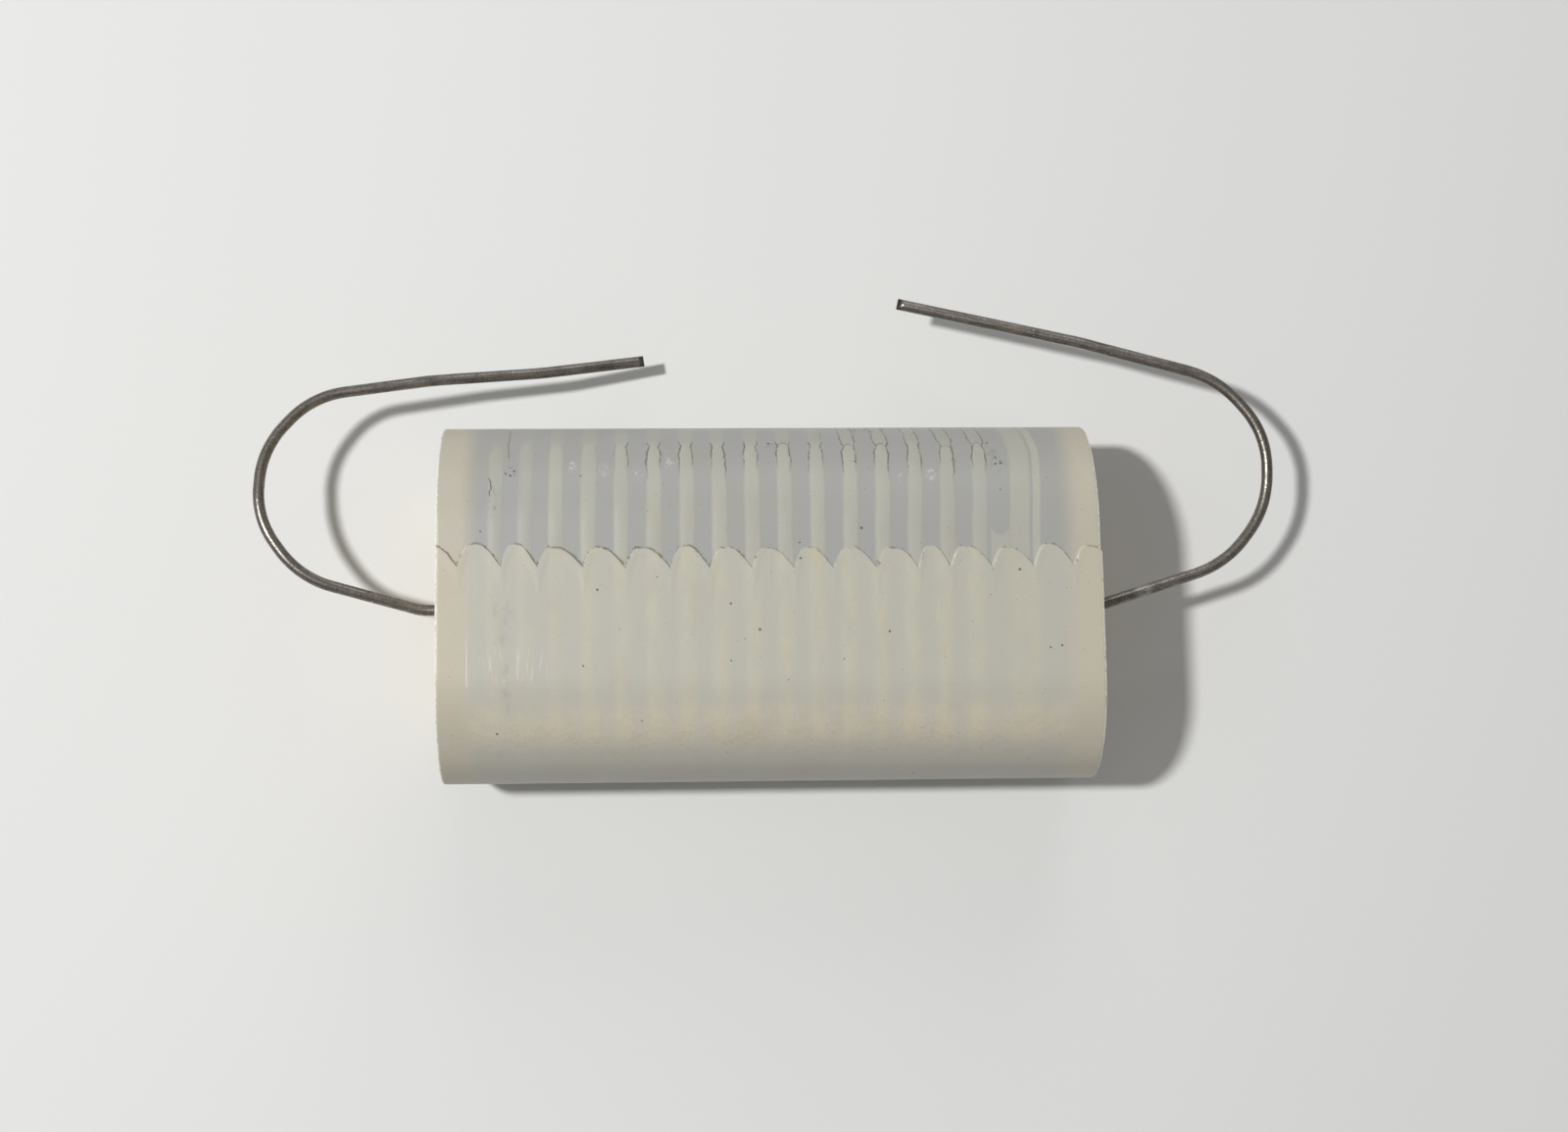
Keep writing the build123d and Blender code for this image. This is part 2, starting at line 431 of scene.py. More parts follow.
# Painted shade: the wire darker toward its cut end.
painted_tip_shade = wire_tip.rise(tip_shade_length, 0.3 * tip_shade_length) * 0.85
wire_colour = layered(tint(lead_tin, lead_dull, oxide), (
    (lead_dark, wire_dirt),
    (lead_bright_and_highlight, (sparks * 0.8).math("MAXIMUM", painted_wire_highlight)),
    (lead_dark, nick.math("MAXIMUM", painted_tip_shade)),
))
feed(tinned_shader.inputs["Base Color"], wire_colour)
tinned_shader.inputs["Metallic"].default_value = lead_metal
wire_roughness = oxide * lead_oxide_roughness + lead_clean_roughness - sparks * lead_spark_gloss
feed(tinned_shader.inputs["Roughness"], wire_roughness)
raised(tinned_shader, drawn * 0.25 + grain * 0.75, lead_relief)

lead_tree, lead_terms = growing_tree("bent_lead", {
    "Radius": float, "Head radius": float, "Head height": float, "Bend steps": int, "Step": float,
    "Sides": int, "Dent": float, "Cut edge": float, "Cut slope": float, "Seed": float, "Finish": str,
})
corner_radius = made(lead_tree, "GeometryNodeInputRadius") * mm
bent = made(lead_tree, "GeometryNodeFilletCurve", settings={"mode": "POLY"}, Curve=lead_terms["Geometry"],
            Count=lead_terms["Bend steps"], Radius=corner_radius, Limit_Radius=True)
bent = made(lead_tree, "GeometryNodeSetCurveRadius", Curve=bent, Radius=1.0)
path = made(lead_tree, "GeometryNodeResampleCurve", settings={"mode": "LENGTH"},
            Curve=bent, Length=lead_terms["Step"] * mm)
run = made(lead_tree, "GeometryNodeSplineParameter", out=1) / mm
whole = made(lead_tree, "GeometryNodeSplineLength") / mm
heading = made(lead_tree, "GeometryNodeInputTangent")
level = along("CROSS_PRODUCT", heading, (0.0, 0.0, 1.0))
upright = along("NORMALIZE", along("CROSS_PRODUCT", level, heading), None)
path = noted(path, "run", run)
path = noted(path, "tip", whole - run)
path = noted(path, "pinch", upright, "FLOAT_VECTOR")
path = noted(path, "centre", made(lead_tree, "GeometryNodeInputPosition"), "FLOAT_VECTOR")
head = run.rise(lead_terms["Head height"] * 1.2, lead_terms["Head height"] * 0.8)
girth_share = head * (lead_terms["Head radius"] / lead_terms["Radius"] - 1.0) + 1.0
ring = made(lead_tree, "GeometryNodeCurvePrimitiveCircle",
            Resolution=lead_terms["Sides"], Radius=lead_terms["Radius"] * mm)
ring = noted(ring, "round", made(lead_tree, "GeometryNodeSplineParameter", out=0))
swept = made(lead_tree, "GeometryNodeCurveToMesh", Curve=path, Profile_Curve=ring,
             Scale=girth_share, Fill_Caps=True)
place_mm = along("SCALE", made(lead_tree, "GeometryNodeInputPosition"), 1 / mm)
seeded = along("ADD", place_mm, vector(lead_tree, lead_terms["Seed"], 0.0, 0.0))
dent = (cloud(seeded, dents_per_mm) - undented_from).math("MINIMUM", 0.0) * lead_terms["Dent"] * 2.0
dented = along("SCALE", made(lead_tree, "GeometryNodeInputNormal"), dent * mm)
wire = made(lead_tree, "GeometryNodeSetPosition", Geometry=swept, Offset=dented)
pinch = read(lead_tree, "pinch", "FLOAT_VECTOR")
centre = read(lead_tree, "centre", "FLOAT_VECTOR")
off_axis = along("SUBTRACT", made(lead_tree, "GeometryNodeInputPosition"), centre)
reach = along("DOT_PRODUCT", off_axis, pinch, out=1)
room = (read(lead_tree, "tip") * lead_terms["Cut slope"] + lead_terms["Cut edge"] * 0.5) * mm
over = reach - reach.held(room * -1.0, room)
wire = made(lead_tree, "GeometryNodeSetPosition", Geometry=wire, Offset=along("SCALE", pinch, over * -1.0))
finished(lead_tree, wire, lead_terms, lead_crease)

for number, (end, corners) in enumerate(lead_corners.items()):
    line = bpy.data.curves.new(f"lead_{end}_route", "CURVE")
    line.dimensions = "3D"
    spline = line.splines.new("POLY")
    spline.points.add(len(corners) - 1)
    for point, (corner, bend_radius) in zip(spline.points, corners):
        point.co = (*(Vector(corner) * mm), 1.0)
        point.radius = bend_radius
    lead = grown(f"lead_{end}_wire", line, lead_tree, {
        "Radius": lead_radius, "Head radius": lead_head_radius, "Head height": lead_head_height,
        "Bend steps": bend_steps, "Step": lead_step, "Sides": lead_sides, "Dent": lead_dent,
        "Cut edge": cut_edge, "Cut slope": cut_slope, "Seed": lead_seed_step * number, "Finish": tinned,
    })
    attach(lead, "root")
    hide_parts(f"lead_{end}")

# The solder: a pool of tin run round each lead's head, which holds it to the sprayed zinc.
# Resin covers it, so the solids stay as they are.
solder_bright = (186, 188, 190)
solder_dull = (146, 148, 150)
solder_clouds_per_mm = 1.5
solder_roughness = 0.3

solder, solder_shader, solder_place = new_finish("solder_pool")
solder_clouds = cloud(solder_place, solder_clouds_per_mm, detail=3.0)
feed(solder_shader.inputs["Base Color"], tint(solder_dull, solder_bright, solder_clouds))
solder_shader.inputs["Metallic"].default_value = 1.0
solder_shader.inputs["Roughness"].default_value = solder_roughness
for end in ("left", "right"):
    dress(f"solder_{end}", solder)

# The tape wrap: a long polyester tape wound tight round the roll and torn off on a toothed blade.
# Its free end lies along the top. Air stands in tunnels round the girth where the turn below did not stick.
wrap_low, wrap_high = [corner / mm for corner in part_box("tape_wrap")]
body_width = wrap_high.y - wrap_low.y
body_thickness = wrap_high.z - wrap_low.z
left_end = -23.0
right_end = 23.0
left_skew_deg = 0.3
right_skew_deg = 1.1
tape_thickness = 0.08
tape_turns = 5
skin_inset = 0.036
top_inset = 0.02
ripple_height = 0.03
ripples_per_mm = 0.22
wrap_seed = 3.0

# The torn edge: where the blade's teeth left notches, and the shape of the points between them.
seam_place = 2.05
notches = (
    -24.4, -21.5, -18.5, -16.0, -12.9, -10.0, -6.9, -4.2, -1.3,
    1.6, 4.3, 7.3, 10.2, 12.4, 15.3, 18.2, 21.0, 23.9,
)
tooth_pitch = 2.85
tooth_point = 1.42
tooth_point_share = 0.33
tooth_unevenness = 0.3
crest_gain = 1.18
ragged_depth = 0.2
raggedness_per_mm = 2.6
slant_middle = 7.0
slant_bend = 0.0004
tear_reach = 4.0
edge_lift = 0.02
edge_lift_reach = 0.9

# The air tunnels: their spacing, size and lean, and where they neck in on the far round.
tunnel_pitch = 2.26
tunnel_start = -14.81
tunnel_width = 0.95
tunnel_height = 0.022
tunnel_zone = (-19.9, 15.5)
tunnel_foot = 0.15
tunnel_top = -0.4
tunnel_meander = 0.16
covered_share = 0.2
crowd_start = -14.9
crowding = 0.095
neck_place = 6.9
neck_depth = 0.13
neck_in = 1.1
neck_out = 0.35
lean_zone = (-4.0, 14.0)
lean_to_neck = 0.045
lean_past_neck = 0.1
lean_reach = 8.0

# The ends: how far each turn's edge stands from the next, and how round the edges are.
turn_stagger = 0.1
turn_fray = 0.12
turn_rounding = 0.03
lap_set_in = 0.1
end_share = 0.004
edge_rounding = 0.05
edge_rounding_reach = 0.2

wrap_columns = 401
wrap_rows = 190
row_crowding = 0.75
rim_steps = 4
rim_lip = 3
wall_step = 0.5
wrap_weld = 0.0001
wrap_crease = math.radians(50)

upper_cream = (179, 178, 166)
upper_grey = (161, 161, 158)
lower_cream = (189, 186, 168)
lower_grey = (182, 180, 169)
left_beige = (188, 182, 164)
right_beige = (189, 183, 165)
dirt_brown = (104, 96, 77)
dirt_red = (148, 104, 78)
dirt_dark = (74, 70, 64)
speck_black = (40, 38, 36)
speck_olive = (84, 75, 55)
stain_yellow = (190, 172, 120)
stain_brown = (168, 152, 124)
# Painted light: a paler beige, mottled, laid on the first part of the near round.
painted_light_beige = (209, 199, 176)
# Painted shade: a grey laid on the near round past the paler band.
painted_round_shade = (112, 110, 106)
bubble_pale = (198, 196, 186)
# White for a real scratch, and for painted glints and sheen.
scratch_and_highlight_white = (226, 224, 216)
# Pale for the tape's cut edges: partly their own colour, partly painted highlight.
rim_pale_and_highlight = (236, 232, 220)
rim_brown = (132, 112, 84)
tape_roughness = 0.34
tape_specular = 0.4
tape_relief = 0.012 * mm

wrap_tree, wrap = growing_tree("tape_wrap_turns", {
    "Width": float, "Thickness": float, "Left end": float, "Right end": float, "Left skew": float,
    "Right skew": float, "Tape thickness": float, "Turns": int, "Seam place": float, "Tooth pitch": float,
    "Tooth point": float, "Tunnel pitch": float, "Tunnel width": float, "Tunnel height": float,
    "Columns": int, "Rows": int, "Seed": float, "Finish": str,
})
rim_columns = wrap["Turns"] * rim_steps + rim_lip
last_column = wrap["Columns"] + rim_columns * 2.0 - 1.0
last_row = wrap["Rows"] - 1.0
net = made(wrap_tree, "GeometryNodeMeshGrid", Size_X=last_column, Size_Y=last_row,
           Vertices_X=last_column + 1.0, Vertices_Y=wrap["Rows"])
net_x, net_y = split(made(wrap_tree, "GeometryNodeInputPosition"))[:2]
counted = net_x + last_column / 2.0
column = counted * counted.math("LESS_THAN", last_column - 0.5)
row = net_y + last_row / 2.0

# Across the tape: the columns run along the outside, down each end over the turns' edges, and in.
# The last one comes back to the first, which closes the inside.
across = ((column - rim_columns) / (wrap["Columns"] - 1.0)).held(0.0, 1.0)
into_rim = (rim_columns - column).math("MAXIMUM", 0.0)
into_rim = into_rim + (column - (last_column - rim_columns)).math("MAXIMUM", 0.0)
turn = (into_rim / rim_steps).math("MINIMUM", wrap["Turns"])
inward = (into_rim - wrap["Turns"] * rim_steps).math("MAXIMUM", 0.0) * wall_step
depth = turn * wrap["Tape thickness"]

# Round the girth: rows are close at the torn edge and wide apart underneath.
flat_half = (wrap["Width"] - wrap["Thickness"]) / 2.0
round_radius = wrap["Thickness"] / 2.0
around = flat_half * 4.0 + round_radius * (2.0 * math.pi)
row_share = (row / (last_row - 1.0)).held(0.0, 1.0)
spread = row_share - (row_share * (2.0 * math.pi)).math("SINE") * (row_crowding / (2.0 * math.pi))
girth_even = spread * around
closing_row = row.math("GREATER_THAN", last_row - 0.5)

# The torn edge: a rounded point for each tooth of the blade, steep on one side, with a ragged line.
flat_x = wrap["Left end"] + (wrap["Right end"] - wrap["Left end"]) * across
teeth_passed = flat_x.ramp(notches[0], notches[1])
for low, high in zip(notches[1:], notches[2:]):
    teeth_passed = teeth_passed + flat_x.ramp(low, high)
tooth_phase = teeth_passed.math("FRACT")
on_steep = tooth_phase.math("LESS_THAN", tooth_point_share)
steep_side = tooth_phase / tooth_point_share
easy_side = tooth_phase.less_from(1.0) / (1 - tooth_point_share)
crest = (steep_side.math("MINIMUM", easy_side) * crest_gain).math("MINIMUM", 1.0)
tooth_size = cloud(vector(wrap_tree, flat_x, 7.0, wrap["Seed"]), 0.35, detail=0.0)
tooth_size = tooth_size * tooth_unevenness + (1 - tooth_unevenness / 2)
tooth = (crest * (math.pi / 2)).math("SINE") * wrap["Tooth point"] * tooth_size
ragged = (cloud(vector(wrap_tree, flat_x, wrap["Seed"], 3.0), raggedness_per_mm) - 0.5) * ragged_depth
slant = (flat_x - slant_middle).power(2.0) * slant_bend
tear = tooth + slant + ragged
flank_run = (on_steep * (2 * tooth_point_share - 1) + (1 - tooth_point_share)) * wrap["Tooth pitch"]
slope = (crest * (math.pi / 2)).math("COSINE") * wrap["Tooth point"] * (crest_gain * math.pi / 2) / flank_run
squared = (slope * slope + 1.0).math("INVERSE_SQRT")
from_start = (girth_even / tear_reach).less_from(1.0).math("MAXIMUM", 0.0)
from_finish = (girth_even.less_from(around) / tear_reach).less_from(1.0).math("MAXIMUM", 0.0)
girth_open = girth_even - tear * (from_start + from_finish)
edge_open = girth_open + tear - around * row_share.math("GREATER_THAN", 0.5)
girth = girth_open + (closing_row * (tear * -1.0 - girth_open))
edge = edge_open * closing_row.less_from(1.0) * squared


def oval(girth, start, flat_half, radius):
    """A place on an oval that lies flat, by the way round from its top: across, up, and its rounds' turns."""
    to_round = flat_half + start
    far_start = to_round + radius * math.pi + flat_half * 2.0
    near_turn = ((girth - to_round) / radius).held(0.0, math.pi)
    far_turn = ((girth - far_start) / radius).held(0.0, math.pi)
    under = (girth - to_round - radius * math.pi).held(0.0, flat_half * 2.0)
    back_over = (girth - far_start - radius * math.pi).math("MAXIMUM", 0.0)
    y = girth.math("MINIMUM", to_round).less_from(start) + under - back_over
    y = y + (far_turn.math("SINE") - near_turn.math("SINE")) * radius
    z = (near_turn.math("COSINE") - far_turn.math("COSINE") + 2.0) * radius
    return y, z, near_turn, far_turn


oval_y, oval_z, near_turn, far_turn = oval(girth, wrap["Seam place"], flat_half, round_radius)
lean = near_turn + far_turn
normal_y = lean.math("SINE") * -1.0
normal_z = lean.math("COSINE")
lapped = far_turn / math.pi
near_way = girth - flat_half - wrap["Seam place"]
far_way = (girth.less_from(around) + wrap["Seam place"]) - flat_half

# The air tunnels: even stripes, closer at the left, that neck in on the far round and lean over past it.
left_crowd = (flat_x - crowd_start).math("MINIMUM", 0.0) * crowding
to_neck = far_way.held(0.0, neck_place)
past_neck = (far_way - neck_place).held(0.0, lean_reach)
shear = (past_neck * lean_past_neck - to_neck * lean_to_neck) * flat_x.rise(*lean_zone)
meander = cloud(vector(wrap_tree, flat_x, girth * 0.35, wrap["Seed"]), 0.4, detail=1.0)
meander = (meander - 0.5) * tunnel_meander
tunnel = (flat_x + left_crowd + meander + shear - tunnel_start) / wrap["Tunnel pitch"]
off_tunnel = ((tunnel + 0.5).math("FRACT") - 0.5).math("ABSOLUTE") * wrap["Tunnel pitch"]
neck = far_way.rise(neck_place - neck_in, neck_place) - far_way.rise(neck_place, neck_place + neck_out)
beside = off_tunnel - wrap["Tunnel width"] * 0.5 + neck * neck_depth
in_zone = flat_x.band(*tunnel_zone, 0.2)
on_upper = lapped.rise(0.3, 0.6)
crown = beside.rise(tunnel_foot, tunnel_top) * in_zone
telegraph = crown * (on_upper * far_way.rise(8.0, 6.0) * (1 - covered_share) + covered_share)
on_top_turn = edge.math("GREATER_THAN", -0.001)
lift = edge.rise(edge_lift_reach, 0.0) * on_top_turn * edge_lift
ripple = (cloud(vector(wrap_tree, flat_x, girth, wrap["Seed"]), ripples_per_mm) - 0.5) * ripple_height
rise_out = telegraph * wrap["Tunnel height"] + lift + ripple - (normal_z * top_inset + skin_inset)
rise_out = rise_out * turn.less_from(1.0).math("MAXIMUM", 0.0)

# The ends: each turn's cut edge stands a little in or out of the next.
turn_number = turn.math("FLOOR")
stagger = cloud(vector(wrap_tree, turn_number * 3.7, girth * 0.12, across.math("ROUND") * 9.0), 1.0)
frayed_place = vector(wrap_tree, turn_number * 1.9, girth, across.math("ROUND") * 5.0)
frayed = cloud(frayed_place, 1.4, detail=3.0, roughness=0.7)
bulge = (turn.math("FRACT") * math.pi).math("SINE")
set_in = (stagger - 0.2) * turn_stagger + (frayed - 0.35).math("MAXIMUM", 0.0) * turn_fray
set_in = set_in + bulge.less_from(1.0) * turn_rounding
set_in = set_in.math("MAXIMUM", 0.0) + inward
lap_step = lapped * across.rise(0.5, 0.9) * lap_set_in
side = across.rise(0.45, 0.55) * 2.0 - 1.0
skew = across.less_from(1.0) * wrap["Left skew"].math("RADIANS").math("TANGENT")
skew = skew - across * wrap["Right skew"].math("RADIANS").math("TANGENT")
edge_in = across.less_from(0.5).math("ABSOLUTE").rise(0.5 - end_share, 0.5)
from_end = (flat_x - wrap["Left end"]).math("MINIMUM", flat_x.less_from(wrap["Right end"]))
wrap_x = flat_x + skew * oval_y - side * (set_in * edge_in + lap_step)
rounded = from_end.rise(edge_rounding_reach, 0.0).power(2.0) * (turn / wrap["Turns"]).less_from(1.0)
sink = lapped * wrap["Tape thickness"] * turn.math("LESS_THAN", wrap["Turns"]) + depth
sink = sink - rise_out + rounded * edge_rounding
wrap_y = oval_y - normal_y * sink
wrap_z = oval_z - normal_z * sink

tape_notes = {
    "edge": edge, "flank": tooth_phase, "turn": turn, "near": near_way, "far": far_way,
    "beside": beside, "tunnel": tunnel, "lapped": lapped, "from_end": from_end,
}
for name, value in tape_notes.items():
    net = noted(net, name, value)
tube = made(wrap_tree, "GeometryNodeSetPosition", Geometry=net,
            Position=vector(wrap_tree, wrap_x, wrap_y, wrap_z))
tube = made(wrap_tree, "GeometryNodeMergeByDistance", Geometry=tube, Distance=wrap_weld)
tube = made(wrap_tree, "GeometryNodeFlipFaces", Mesh=tube)
tube = made(wrap_tree, "GeometryNodeTransform", Geometry=tube, Scale=(mm, mm, mm))
finished(wrap_tree, tube, wrap, wrap_crease)

tape, tape_shader, tape_place = new_finish("polyester_tape")
tape_tree = tape.node_tree
tape_x = split(tape_place)[0]
t_edge, t_flank, t_turn, t_near, t_far, t_beside, t_tunnel, t_lapped, t_end = [
    note(tape_tree, name) for name in tape_notes
]
t_open = t_edge.rise(0.0, -0.02) * t_lapped.rise(0.25, 0.7)
t_lower = t_open.less_from(1.0)
blotch = cloud(tape_place, 0.28, 3.0, 0.6)
mottle = cloud(tape_place, 0.9, 4.0, 0.65)
fine = cloud(tape_place, 6.0, 3.0, 0.6)
broken = cloud(tape_place, 1.5, 4.0, 0.75)
flecked = cloud(tape_place, 3.2, 3.0, 0.7)
speckled = cloud(tape_place, 7.0, 2.0, 0.6)

# Stripes where the turn below shows through: sharp beside the free end, faint and patchy under it.
soft_stripe_place = -16.9
soft_stripe_reach = 1.0
stripe_head = (7.7, 6.5)
wide_band = (16.5, 17.85)
thin_band = (18.08, 18.6)
faint_band = (16.4, 18.6)
band_bend = 6.0
band_reach = 5.0
patch_sides = (15.2, 16.5)
patch_middle = 15.85
patch_bow = 1.2

t_zone = tape_x.band(*tunnel_zone, 0.15)
soft_one = tape_x.hump(soft_stripe_place, soft_stripe_reach)
uneven_side = t_beside + (mottle - 0.5) * 0.16
sharp_stripe = uneven_side.rise(0.13, -0.11) * soft_one.less_from(1.0)
sharp_stripe = sharp_stripe + uneven_side.rise(0.25, -0.35) * soft_one * 0.8
past_head = t_far.rise(*stripe_head) * 0.6 + tape_x.rise(-18.0, -15.5) * 0.4
faded = cloud(vector(tape_tree, tape_x * 0.8, t_far * 0.3, 8.0), 0.5).rise(0.25, 0.6) * 0.3 + 0.7
sharp_stripe = sharp_stripe * t_zone * past_head * faded * (tape_x.rise(14.0, 6.0) * 0.2 + 0.8)
lean_x = tape_x - t_far.held(0.0, band_bend) * lean_to_neck
lean_x = lean_x + (t_far - band_bend).held(0.0, band_reach) * lean_past_neck
patch_floor = (t_far + 0.5 - (tape_x - patch_middle).power(2.0) * patch_bow).rise(0.0, -0.35)
last_patch = tape_x.band(*patch_sides, 0.1) * patch_floor * 0.75
upper_stripe = sharp_stripe
for stripe in (lean_x.band(*wide_band, 0.1) * 0.8, lean_x.band(*thin_band, 0.06), last_patch):
    upper_stripe = upper_stripe.math("MAXIMUM", stripe)
patchy = cloud(vector(tape_tree, tape_x * 0.7, t_near * 0.3, 0.0), 1.0, 3.0, 0.6).rise(0.32, 0.62)
drifted_side = t_beside + (blotch - 0.5) * 0.7 + (mottle - 0.5) * 0.3
lower_stripe = drifted_side.rise(0.42, -0.34) * t_zone + tape_x.band(*faint_band, 0.4) * 0.7
lower_stripe = lower_stripe * (patchy * 0.7 + 0.3) * (t_near.rise(6.0, 4.2) * 0.8 + 0.2)
lower_stripe = lower_stripe * (tape_x.rise(-18.0, -9.0) * 0.4 + 0.6)
lower_colour = tint(lower_grey, lower_cream, lower_stripe)
upper_colour = tint(upper_grey, upper_cream, upper_stripe)
tape_colour = tint(lower_colour, upper_colour, t_open)

# Washes of colour: yellowed stripes, a mottled paler band on the near round that is painted light, a grey
# band further round that is painted shade, and beige ends where the tape lies over resin.
painted_light_span = (2.5, 5.2)
grimy_span = (3.6, 6.8)
shaded_span = (7.2, 11.5)
left_margin = (-19.9, -21.5)
right_margin = (19.8, 21.6)

yellowed = cloud(tape_place, 0.45, 3.0, 0.6).rise(0.52, 0.75) * lower_stripe * t_lower
painted_light_share = lower_stripe * 0.14 + mottle.rise(0.35, 0.65) * 0.26 + 0.33
grimy = t_near.band(*grimy_span, 0.8) * (mottle * 0.4 + flecked * 0.6).rise(0.46, 0.66)
end_drift = tape_x + (blotch - 0.5) * t_lower * 1.4
tape_colour = layered(tape_colour, (
    (stain_yellow, yellowed * 0.22),
    # painted light on the first part of the near round
    (painted_light_beige, t_near.band(*painted_light_span, 1.1) * painted_light_share),
    (stain_brown, grimy * 0.24),
    (left_beige, end_drift.rise(*left_margin)),
    (right_beige, end_drift.rise(*right_margin)),
    # painted shade where the near round turns down
    (painted_round_shade, t_near.band(*shaded_span, 1.6) * 0.24),
    (upper_grey, t_open * 0.14),
    (stain_brown, blotch.rise(0.5, 0.8) * 0.16),
    (stain_brown, speckled.rise(0.42, 0.75) * 0.16),
))

# Dirt that gathered along the torn edge, beside the tunnels and at their necks, and white glints on the steep
# flanks of the teeth that are painted highlight.
red_zone = (-20.8, -21.4)
line_start = (3.6, 5.6)
line_stop = (7.6, 7.0)
line_zone_left = (-11.5, -9.5)
far_line_span = (7.0, 10.6)
far_line_left = (2.0, 6.0)
arch_bow = 1.6
arch_scatter = 2.4

near_edge = (t_edge + (flecked - 0.5) * 0.26).hump(-0.04, 0.13, 0.03)
by_tooth = cloud(vector(tape_tree, tape_x, 3.0, 0.0), 0.16)
edge_amount = broken * 0.3 + flecked * 0.45 + by_tooth * 0.25
edge_amount = edge_amount + t_flank.band(0.25, 0.95, 0.1) * 0.09 + tape_x.rise(8.0, -14.0) * 0.05
edge_dirt = near_edge * edge_amount.rise(0.57, 0.66)
clumps = t_edge.hump(0.0, 0.2, 0.05) * cloud(tape_place, 0.9, 3.0, 0.6).rise(0.62, 0.7)
# Painted highlight: white glints on the steep flanks of the teeth.
glint = t_edge.hump(0.03, 0.05, 0.01) * t_flank.band(0.03, 0.25, 0.03) * flecked.rise(0.58, 0.64)
red_lines = near_edge * tape_x.rise(*red_zone) * broken.rise(0.4, 0.6)
line_length = (cloud(vector(tape_tree, tape_x, 1.0, 0.0), 0.9, 0.0) - 0.5) * 3.0
line_zone = t_far.rise(line_length + line_start[0], line_length + line_start[1])
line_zone = line_zone * t_far.rise(*line_stop) * tape_x.rise(*line_zone_left)
far_lines = t_far.band(*far_line_span, 0.5) * tape_x.rise(*far_line_left) * 0.8
line_waver = (cloud(vector(tape_tree, tape_x * 0.8, t_far * 1.1, 2.0), 1.0) - 0.5) * 0.34
side_lines = (t_beside + line_waver).hump(0.0, 0.09, 0.02) * line_zone.math("MAXIMUM", far_lines)
side_lines = side_lines * t_zone * (broken.rise(0.34, 0.56) * 0.75 + 0.25)
lot = cloud(vector(tape_tree, (t_tunnel + 0.5).math("FLOOR"), 5.0, 0.0), 3.7, 0.0)
bow = (t_beside + tunnel_width / 2).power(2.0) * arch_bow
arch_far = t_far + bow - (lot - 0.55) * arch_scatter - (flecked - 0.5) * 0.25
arched = arch_far.hump(neck_place, 0.11, 0.03) * t_beside.rise(0.02, -0.02) * lot.rise(0.46, 0.5)
arched = arched * tape_x.rise(-2.0, 2.0) * t_zone * broken.rise(0.38, 0.54) * 0.65
tape_colour = layered(tape_colour, (
    (dirt_brown, edge_dirt * 0.62),
    (dirt_dark, clumps * 0.6),
    (scratch_and_highlight_white, glint),
    (dirt_red, red_lines * 0.6),
    (dirt_dark, side_lines.math("MAXIMUM", arched) * t_open * 0.72),
))

# Small marks: bubbles between the tunnels, specks, a crack, stains and a scratch, with pale streaks that are
# painted sheen and pale cut edges that are partly painted highlight.
# Each cluster of specks has its place and reach along the body, then round the girth, and how thick it is.
bubble_place = 4.4
bubble_scatter = 4.0
bubble_zones = ((-14.0, -5.5), (9.0, 12.0))
speck_clusters = (
    (-17.9, 0.7, 4.6, 1.4, 2.0),
    (-19.0, 0.5, 2.0, 2.2, 0.6),
    (0.2, 0.6, 6.8, 0.6, 0.9),
    (7.0, 2.4, 9.6, 1.3, 1.0),
    (15.9, 0.9, 5.4, 2.3, 1.0),
)
crack_place = -19.25
crack_span = (2.3, 3.7)
hairline_place = -18.1
hairline_span = (5.6, 9.8)
smudge_place = -18.4
smudge_reach = 2.4
smudge_span = (-6.0, 6.5)
scratch_place = -20.83
scratch_start = (-3.6, -0.6)
scratch_stop = (1.1, 0.8)
# Where the streaks of painted sheen lie, along the body and round the girth.
sheen_place = -17.6
sheen_reach = 3.4
sheen_middle = -0.5
sheen_half = 1.8

bubble_lot = cloud(vector(tape_tree, t_tunnel.math("FLOOR"), 9.0, 0.0), 3.3, 0.0)
bubble_far = t_far - bubble_place - (bubble_lot - 0.5) * bubble_scatter
bubble_off = (t_tunnel.math("FRACT") - 0.5) * tunnel_pitch
bubble_gap = (bubble_off * bubble_off + bubble_far * bubble_far * 0.4).math("SQRT")
bubble_left, bubble_right = [tape_x.band(*zone, 0.3) for zone in bubble_zones]
bubble_zone = bubble_left.math("MAXIMUM", bubble_right) * t_open
bubble = bubble_gap.rise(0.5, 0.15) * bubble_zone * flecked.rise(0.47, 0.62)
marks = [(bubble_pale, bubble * 0.75)]
for place_x, reach_x, place_far, reach_far, thick in speck_clusters:
    cluster = tape_x.hump(place_x, reach_x) * t_far.hump(place_far, reach_far) * t_open
    dots = specks(tape_place, per_mm=2.6, amount=cluster * thick, size_share=0.5)
    smear = cluster * flecked.rise(0.52, 0.64) * 0.5
    marks.append((speck_black, (dots * speckled.rise(0.36, 0.5)).math("MAXIMUM", smear) * 0.85))
crack_waver = (cloud(vector(tape_tree, t_far, 2.0, 0.0), 1.3) - 0.5) * 0.5
crack = (tape_x + crack_waver).hump(crack_place, 0.06, 0.02) * t_far.band(*crack_span, 0.2)
hair_waver = (cloud(vector(tape_tree, t_far, 6.0, 0.0), 0.8) - 0.5) * 0.4
hairline = (tape_x + hair_waver).hump(hairline_place, 0.05, 0.015) * t_far.band(*hairline_span, 0.3)
smudge = cloud(vector(tape_tree, tape_x, t_near * 0.5, 4.0), 0.8, 4.0, 0.7).rise(0.52, 0.75)
smudge = smudge * tape_x.hump(smudge_place, smudge_reach) * t_lower * t_near.band(*smudge_span, 1.0)
